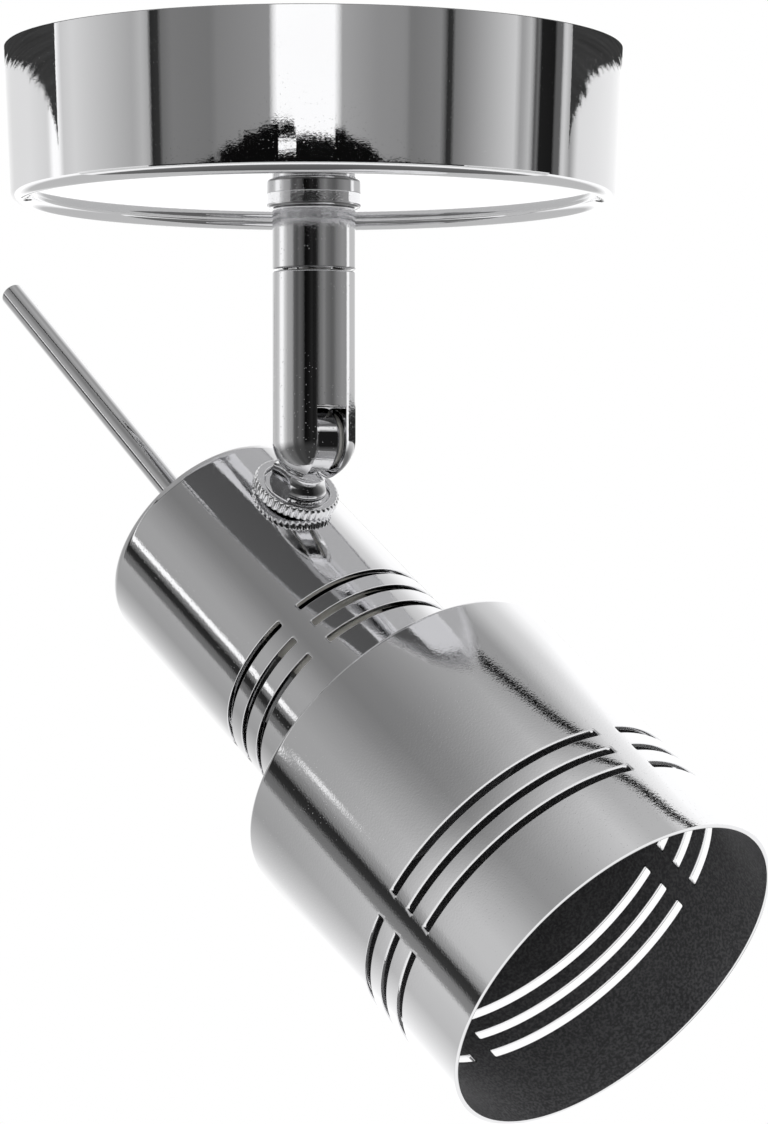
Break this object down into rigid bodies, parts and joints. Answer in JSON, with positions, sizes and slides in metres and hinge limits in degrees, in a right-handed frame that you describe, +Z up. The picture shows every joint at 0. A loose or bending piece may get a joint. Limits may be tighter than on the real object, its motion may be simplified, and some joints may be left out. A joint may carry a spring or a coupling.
{
  "type": "ceiling light",
  "caption": "Adjustable ceiling spotlight: round canopy, swivelling stem with a forked knuckle, and a slotted cylindrical lamp head with a rear pull rod.",
  "frame": {"origin": "centre of the strap's two ceiling slots, on the ceiling face, which is also the centre of the canopy's rim", "axes": "+Z up into the ceiling, along the stem; X along the strap and along the knuckle's screw; the fork's slot runs along Y and the lamp's mouth points to -Y and down, turned 14 degrees towards +X"},
  "size_m": [0.1029, 0.1571, 0.1705],
  "materials": {
    "chrome": "bright polished plate",
    "chrome_shade": "bright polished plate outside, dark grey coat inside",
    "zinc_steel": "zinc plated",
    "plain_brass": "satin",
    "terminal_plastic": "moulded, matte",
    "nylon": "plain",
    "ceramic": "glazed ceramic"
  },
  "bodies": {
    "root": {"canopy": "chrome", "ceiling_strap": "zinc_steel", "threaded_nipple": "plain_brass", "strap_lock_nut": "zinc_steel", "canopy_washer": "zinc_steel", "canopy_nut": "zinc_steel", "earth_screw": "plain_brass", "terminal_block": "terminal_plastic", "terminal_tubes": "plain_brass", "terminal_screws": "zinc_steel", "terminal_fixing_screw": "zinc_steel", "collar": "chrome", "upper_stem": "chrome", "swivel_spring_washer": "zinc_steel"},
    "stem": {"lower_stem": "chrome", "swivel_washer": "nylon", "swivel_retainer": "zinc_steel", "swivel_stop_pin": "zinc_steel", "knuckle_screw": "chrome", "friction_washers": "nylon"},
    "link": {"knuckle_tongue": "chrome", "inner_nut": "zinc_steel"},
    "head": {"rear_housing": "chrome", "knurled_ring": "chrome", "inner_washer": "zinc_steel", "pull_rod": "chrome", "rod_washer": "zinc_steel", "rod_nut": "zinc_steel", "front_shade": "chrome_shade", "shade_screws": "zinc_steel", "holder_bracket": "zinc_steel", "lampholder_back": "ceramic", "lampholder_body": "ceramic", "lampholder_contacts": "plain_brass", "holder_screws": "zinc_steel", "head_earth_screw": "plain_brass"}
  },
  "joints": [
    {"name": "stem_swivel", "type": "hinge", "parent": "root", "child": "stem", "pos_m": [0, 0, -0.0356], "axis": [0, 0, 1], "range_deg": [-165, 165]},
    {"name": "knuckle_tilt", "type": "hinge", "parent": "stem", "child": "link", "pos_m": [0, 0, -0.0632], "axis": [1, 0, 0], "range_deg": [-70, 21]},
    {"name": "head_turn", "type": "hinge", "parent": "link", "child": "head", "pos_m": [0, 0.01952, -0.08773], "axis": [0, 0.6225, -0.7826], "range_deg": [-96, 124]}
  ]
}
